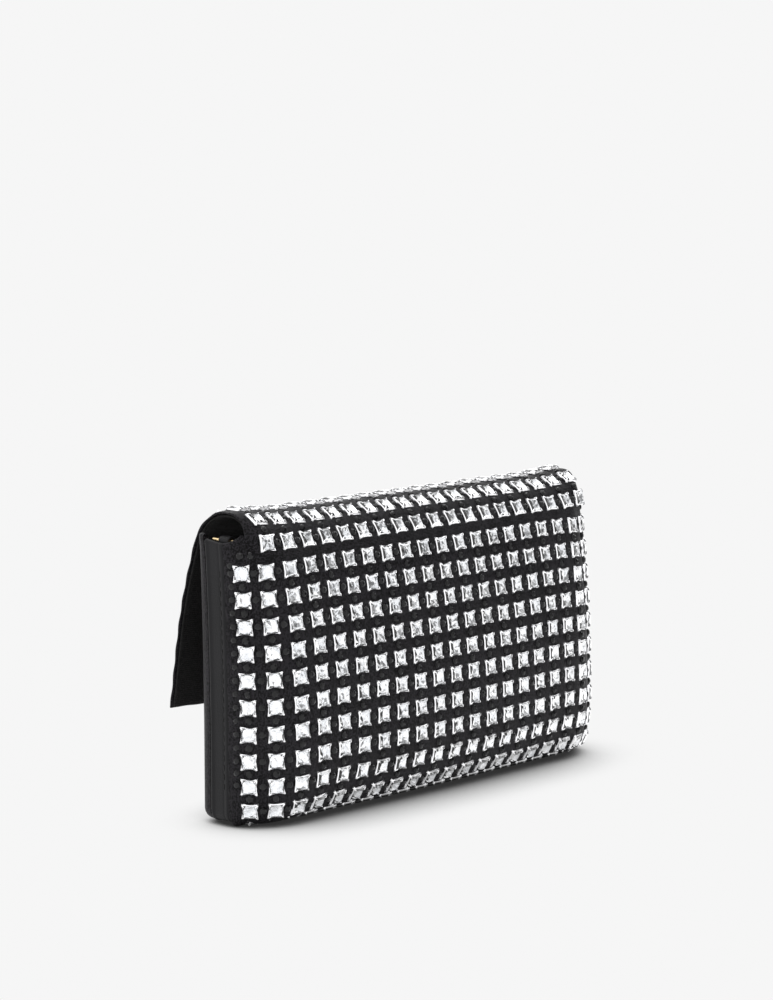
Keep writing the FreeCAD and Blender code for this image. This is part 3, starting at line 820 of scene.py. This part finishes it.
def crystal_foil():
    """Silvered back facets under the crown: a pointed star of planes."""
    points = eight_points(2.42, 2.42, 0.62) + eight_points(1.3 * math.sqrt(0.5), 1.3, 0.34)
    points.append((0.0, 0.0, 0.12))
    faces = []
    for i in range(8):
        j = (i + 1) % 8
        faces += [(i, j, 8 + i), (j, 8 + j, 8 + i), (8 + i, 8 + j, 16)]
    return points, faces


# How far the points of each stone may stray, ring by ring, so that no two sparkle alike.
CROWN_JITTER = np.array([[0.03, 0.03, 0.0]] * 16 + [[0.1, 0.1, 0.05]] * 8)
ROSE_JITTER = np.array([[0.02, 0.02, 0.0]] * 16 + [[0.06, 0.06, 0.05]] * 8 + [[0.07, 0.07, 0.06]] * 8)
FOIL_JITTER = np.array([[0.0, 0.0, 0.0]] * 8 + [[0.35, 0.35, 0.28]] * 8 + [[0.6, 0.6, 0.3]])


def rose_cut():
    """Small black stone: eight facets round a low dome, in a thin seat."""
    seat_rings = [circle(1.26, -0.3), circle(1.32, 0.22)]
    return stack_rings(seat_rings + [circle(1.04, 0.66, shift=0.5), circle(0.5, 0.98)])


def scatter(name, shape, places, material, body, jitter=None):
    """One mesh with a copy of a shape at each place, a 4x4 matrix in millimetres, each a little different."""
    base, base_faces = shape
    base = np.array(base, float)
    points, faces = [], []
    for number, place in enumerate(places):
        one = base
        if jitter is not None:
            one = base + jitter * np.array([[random.uniform(-1, 1) for _ in range(3)] for _ in base])
        points.append(one @ place[:3, :3].T + place[:3, 3])
        offset = number * len(base)
        faces += [tuple(index + offset for index in face) for face in base_faces]
    piece = mesh_object(name, np.concatenate(points), faces, material, flat=True)
    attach(piece, body)
    return piece


STONE_HEIGHT, STONE_REACH = 1.6, 4.15  # of a crystal and its claws, above its seat and out to a claw


def seat(surface, run, distance, outward, tilt=0.0, spin=0.0, sink=0.0, scale=1.0):
    """Where a stone stands on a surface: its axis along the normal, its rows along the cloth."""
    step = 0.4
    grid = surface(
        np.array([[run - step, run - step], [run + step, run + step]]),
        np.array([[distance - step, distance + step], [distance - step, distance + step]]),
    )
    along = unit(grid[1, 0] + grid[1, 1] - grid[0, 0] - grid[0, 1])
    normal = unit(np.cross(along, grid[0, 1] + grid[1, 1] - grid[0, 0] - grid[1, 0]))
    centre = grid.mean(axis=(0, 1))
    if np.dot(normal, outward(centre)) < 0:
        normal = -normal
    if tilt:
        lean_along = along * random.uniform(-tilt, tilt)
        lean_across = np.cross(normal, along) * random.uniform(-tilt, tilt)
        normal = unit(normal + lean_along + lean_across)
    along = unit(along - normal * np.dot(along, normal))
    across = np.cross(normal, along)
    turn = random.uniform(-spin, spin)
    x_axis = along * math.cos(turn) + across * math.sin(turn)
    y_axis = np.cross(normal, x_axis)
    place = np.eye(4)
    place[:3, 0], place[:3, 1], place[:3, 2] = x_axis * scale, y_axis * scale, normal * scale
    place[:3, 3] = centre - normal * sink
    if normal[2] < -0.6:  # a stone of the base, which is lifted off the table
        leaning = math.sqrt(max(0.0, 1 - normal[2] ** 2))
        lowest = place[2, 3] + STONE_HEIGHT * normal[2] - STONE_REACH * leaning
        place[2, 3] += max(0.0, TABLE_GAP - lowest)
    return place


def base_outward(point):
    """Away from a line along the middle of the body."""
    return point - np.array([point[0], -3.0, 45.0])


BACK_COLUMNS = list(range(-10, 11))
INNER_COLUMNS = BACK_COLUMNS[1:-1]
body_rows = [WAIST + row * PITCH for row in range(-2, 8)]


def halves(values):
    """The places half way between neighbours."""
    return [(low + high) / 2 for low, high in zip(values, values[1:])]


def on_body(run, distance):
    """The body's skin, by the distance along the side outline."""
    return body_surface(run, WAIST - distance)


def on_prism(run, distance):
    """Base and front, which are straight along X."""
    y, z, _ = side.at(distance)
    return np.stack(np.broadcast_arrays(np.asarray(run, float), y, z * SETTLED), -1)


def on_base(run, distance):
    """The flat of the base, and at its back edge the rounded skin of the back."""
    flat = on_prism(run, distance)
    share = smooth(distance, MIDDLE + 0.3 * BASE_PITCH, MIDDLE + 0.9 * BASE_PITCH)[..., None]
    return flat + (on_body(run, distance) - flat) * share


studs = {"back": [], "base": [], "front": [], "fold": [], "flap": []}
blacks = {key: [] for key in studs}
TILT, SPIN, BLACK_SPIN = 0.035, 0.04, 0.4  # how far a stone may lean and turn, in radians
SINK = 0.12
for column in BACK_COLUMNS:
    for row in body_rows:
        studs["back"].append(seat(on_body, column * PITCH, row, back_outward, TILT, SPIN, SINK))
    for row in halves(body_rows):
        blacks["back"].append(seat(on_body, column * PITCH, row, back_outward, TILT, BLACK_SPIN))
for column in halves(BACK_COLUMNS):
    for row in body_rows:
        blacks["back"].append(seat(on_body, column * PITCH, row, back_outward, TILT, BLACK_SPIN))
SEAM_COLUMN = 10.47
seam_rows = body_rows[1:]
for sign in (-1, 1):
    # a close row of smaller stones down the seam, and two above the end of each wrap
    for row in seam_rows + halves(seam_rows) + [body_rows[-1] + 0.3 * PITCH]:
        place = seat(on_body, sign * SEAM_COLUMN * PITCH, row, back_outward, TILT, BLACK_SPIN, scale=0.9)
        blacks["back"].append(place)
    row = body_rows[-1] + 0.68 * PITCH
    for column in (10, 9.55):
        blacks["back"].append(seat(on_body, sign * column * PITCH, row, back_outward, TILT, BLACK_SPIN))

base_rows = [MIDDLE + row * BASE_PITCH for row in (1, 0, -1)]
front_rows = [MIDDLE - 2 * BASE_PITCH - row * PITCH for row in range(4)]
fold_rows = [BACK_SPLIT + (row + 0.5) * PITCH for row in range(4)]
flap_rows = [FLAP_SPLIT + (row + 0.5) * PITCH for row in range(7)]
studded = (
    ("base", on_base, base_rows, base_outward),
    ("front", on_prism, front_rows, base_outward),
    ("fold", fold_surface, fold_rows, base_outward),
    ("flap", fold_surface, flap_rows, flap_outward),
)
for name, surface, rows, outward in studded:
    tilt = 0.0 if name == "base" else TILT
    for column in INNER_COLUMNS:
        for row in rows:
            studs[name].append(seat(surface, column * PITCH, row, outward, tilt, SPIN, SINK))
        for row in halves(rows):
            blacks[name].append(seat(surface, column * PITCH, row, outward, TILT, BLACK_SPIN))
    for column in halves(INNER_COLUMNS):
        for row in rows:
            blacks[name].append(seat(surface, column * PITCH, row, outward, TILT, BLACK_SPIN))

body_of = {"back": "body", "base": "body", "front": "body", "fold": "fold", "flap": "flap"}
for name, places in studs.items():
    for label, shape, material, slot_name in (
        ("claws", claw_setting(), silver, "clear_crystal"),
        ("crystals", crystal_top(), crystal, "clear_crystal"),
        ("foils", crystal_foil(), foil, "clear_crystal"),
    ):
        jitter = {"foils": FOIL_JITTER, "crystals": CROWN_JITTER}.get(label)
        piece = scatter(f"{label}_{name}", shape, places, material, body_of[name], jitter)
        if label == "crystals":
            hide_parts(f"{name}_square_stones")
    piece = scatter(f"black_stones_{name}", rose_cut(), blacks[name], black_stone, body_of[name], ROSE_JITTER)
    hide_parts(f"{name}_round_stones")

# ------------------------------------------------------------------ stitching on the gussets


def stitch():
    """One stitch of twisted thread, lying along the seam."""
    outline = [(0.06, -1.15), (0.17, -1.0), (0.24, -0.6), (0.26, 0.0), (0.24, 0.6), (0.17, 1.0), (0.06, 1.15)]
    points, faces = stack_rings([circle(radius, along) for radius, along in outline])
    return [(x, along, -0.8 * y) for x, y, along in points], faces


def smooth_faces(piece):
    piece.data.polygons.foreach_set("use_smooth", [True] * len(piece.data.polygons))


STITCHES, FIRST_STITCH, STITCH_PITCH = 23, 14.6, 3.4
for label, sign in SIDES:
    places = []
    for z in FIRST_STITCH + STITCH_PITCH * np.arange(STITCHES):
        if z > WAIST_Z + 1:
            drop = float(drop_at_height(z))
        else:
            drop = (WAIST_Z - z) * WALL_DROP / profile_length(GUSSET_RADIUS)
        run = sign * (SEAM_BACK + STITCH_LINE)
        places.append(seat(on_body, run, WAIST - drop, back_outward, spin=0.05, sink=0.1))
    piece = scatter(f"gusset_stitches_{label}", stitch(), places, thread_cloth, "body")
    smooth_faces(piece)
    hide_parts(f"{label}_gusset_stitching")

# ------------------------------------------------------------------ metal


def snap_plate():
    """The snap's plate on the flap's lining: a dished disc in a rim, on the side away from the stones."""
    outline = ((6.7, 2.0), (6.9, 2.2), (6.9, 3.0), (6.5, 3.3), (5.6, 3.3), (5.2, 3.0), (2.6, 2.9), (2.3, 2.6))
    points, faces = stack_rings([circle(radius, depth, 48) for radius, depth in outline])
    return [(x, y, -depth) for x, y, depth in points], [face[::-1] for face in faces]


# The plate sits where the flap's cloth passes the height of the magnet in the frame.
magnet_low, magnet_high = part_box("flap_magnet")
magnet_height = (magnet_low[2] + magnet_high[2]) / 2 / MM
flap_distances = np.linspace(FLAP_SPLIT, side.length, 400)
nearest = np.argmin(np.abs(fold_surface(0.0, flap_distances)[..., 2] - magnet_height))
place = seat(fold_surface, 0.0, flap_distances[nearest], fold_outward)
plate = scatter("snap_plate", snap_plate(), [place], nickel, "flap")
smooth_faces(plate)
plate.data.set_sharp_from_angle(angle=math.radians(30))
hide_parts("flap_magnet")

for node_name, material in (("left_d_ring", gold), ("right_d_ring", gold), ("front_magnet", nickel)):
    for material_slot in bpy.data.objects[node_name].material_slots:
        material_slot.material = material

# ------------------------------------------------------------------ what stands for what

STANDS_FOR = {
    "cloth_divider": (("pocket_divider",), "lining_cloth"),
    "card_panel_top": (("card_slot_top",), "black_leather"),
    "card_panel_middle": (("card_slot_middle",), "black_leather"),
    "card_panel_bottom": (("card_slot_bottom",), "black_leather"),
    "satin_back": (("back_cover", "back_board"), "black_satin"),
    "satin_front": (("front_cover", "front_board"), "black_satin"),
    "satin_base": (("base_cover", "base_board"), "black_satin"),
    "gusset_left": (("left_gusset",), "black_leather"),
    "gusset_right": (("right_gusset",), "black_leather"),
    "ring_strap_left": (("left_ring_tab",), "black_leather"),
    "ring_strap_right": (("right_ring_tab",), "black_leather"),
    "lining_pouch": (
        ("back_lining", "front_lining", "left_gusset_lining", "right_gusset_lining"),
        "lining_cloth",
    ),
    "lining_floor": (("base_lining",), "lining_cloth"),
    "satin_fold": (("fold_cover", "fold_interlining"), "black_satin"),
    "satin_flap": (("flap_cover", "flap_board"), "black_satin"),
    "lining_fold": (("fold_lining",), "lining_cloth"),
    "lining_flap": (("flap_lining",), "lining_cloth"),
}
for name, (nodes, finish) in STANDS_FOR.items():
    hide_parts(*nodes)

# ------------------------------------------------------------------ stage



def band(tree, source, low, high, at_low=0.0, at_high=1.0):
    """A smooth step of a socket between two of its values."""
    step = map_range(tree, source, at_low, at_high, interpolation_type="SMOOTHSTEP")
    step.node.inputs["From Min"].default_value, step.node.inputs["From Max"].default_value = low, high
    return step


PAPER_WHITE, CONTACT_SHADE = 0.921, 0.03
FLOOR_BOUNCE = 1.4  # the floor lights the stones more than it shows
FLOOR_CELLS = 40
floor_edge = np.linspace(-3.0, 3.0, FLOOR_CELLS + 1)
floor_ids = np.arange((FLOOR_CELLS + 1) ** 2).reshape(FLOOR_CELLS + 1, FLOOR_CELLS + 1)
floor_quads = np.stack([floor_ids[:-1, :-1], floor_ids[1:, :-1], floor_ids[1:, 1:], floor_ids[:-1, 1:]], -1)
floor_points = [(x, y, 0.0) for x in floor_edge for y in floor_edge]
floor_mesh = bpy.data.meshes.new("floor")
floor_mesh.from_pydata(floor_points, [], floor_quads.reshape(-1, 4).tolist())
floor = bpy.data.objects.new("floor", floor_mesh)
bpy.context.scene.collection.objects.link(floor)
floor_paint, floor_tree, floor_shader = new_material("floor_paint")
floor_shader.inputs["Base Color"].default_value = (0.0, 0.0, 0.0, 1)
floor_shader.inputs["Specular IOR Level"].default_value = 0.0
floor_shader.inputs["Emission Color"].default_value = (1, 1, 1, 1)
# The floor glows instead of taking light: ambient occlusion darkens its emission close to the wallet, a
# painted contact shadow rather than one cast by the lamps.
near = node(floor_tree, "ShaderNodeAmbientOcclusion", Distance=0.036)
painted_floor_shadow = band(floor_tree, near.outputs["AO"], 0.1, 0.9, CONTACT_SHADE, PAPER_WHITE)
floor_seen = floor_tree.nodes.new("ShaderNodeLightPath")
bounce = map_range(floor_tree, floor_seen.outputs["Is Camera Ray"], FLOOR_BOUNCE, 1.0)
glow = arithmetic(floor_tree, "MULTIPLY", painted_floor_shadow, bounce)
floor_tree.links.new(glow, floor_shader.inputs["Emission Strength"])
floor_mesh.materials.append(floor_paint)

# The camera sees plain paper. The stones see a studio with a dark side, cards and flags.
STUDIO_LIGHT, STUDIO_DARK = 1.35, 0.06
world = bpy.data.worlds.new("studio")
bpy.context.scene.world = world
world.use_nodes = True
tree = world.node_tree
background = tree.nodes["Background"]
place = tree.nodes.new("ShaderNodeTexCoord")
parts = tree.nodes.new("ShaderNodeSeparateXYZ")
tree.links.new(place.outputs["Generated"], parts.inputs[0])

# A dark side of the studio, to the camera's right, below the lamp bank overhead.
across_x = arithmetic(tree, "MULTIPLY", parts.outputs["X"], -0.80)
across_y = arithmetic(tree, "MULTIPLY", parts.outputs["Y"], 0.60)
sideways = arithmetic(tree, "ADD", across_x, across_y)
below_lamps = arithmetic(tree, "SUBTRACT", 1.0, band(tree, parts.outputs["Z"], 0.55, 0.8))
dark_side = arithmetic(tree, "MULTIPLY", band(tree, sideways, 0.45, 0.85), below_lamps)
# Soft patches, as of cards and flags round a set, give the crystals something to reflect.
cards = texture(tree, "ShaderNodeTexNoise", place.outputs["Generated"], Scale=5.5, Detail=1.0).outputs["Fac"]
cards_light = arithmetic(tree, "MULTIPLY", band(tree, cards, 0.5, 0.6), 0.85)
flags_shade = arithmetic(tree, "MULTIPLY", band(tree, cards, 0.46, 0.34), 0.3)
dark_gaps = arithmetic(tree, "MULTIPLY", dark_side, arithmetic(tree, "SUBTRACT", 1.0, cards_light))
shade = arithmetic(tree, "ADD", arithmetic(tree, "MULTIPLY", dark_gaps, 1.12), flags_shade)
studio = arithmetic(tree, "MAXIMUM", arithmetic(tree, "SUBTRACT", STUDIO_LIGHT, shade), STUDIO_DARK)
seen = tree.nodes.new("ShaderNodeLightPath").outputs["Is Camera Ray"]
paper = arithmetic(tree, "MULTIPLY", seen, PAPER_WHITE)
unseen = arithmetic(tree, "MULTIPLY", arithmetic(tree, "SUBTRACT", 1.0, seen), studio)
tree.links.new(arithmetic(tree, "ADD", paper, unseen), background.inputs["Strength"])
background.inputs["Color"].default_value = (1, 1, 1, 1)

sun = bpy.data.objects.new("lamp_bank", bpy.data.lights.new("lamp_bank", "SUN"))
bpy.context.scene.collection.objects.link(sun)
sun.data.energy = 1.0
sun.data.angle = math.radians(50)
sun.rotation_mode = "QUATERNION"
sun.rotation_quaternion = Vector((0.28, 0.3, -0.91)).to_track_quat("-Z", "Y")
bpy.context.scene.view_settings.view_transform = "Standard"
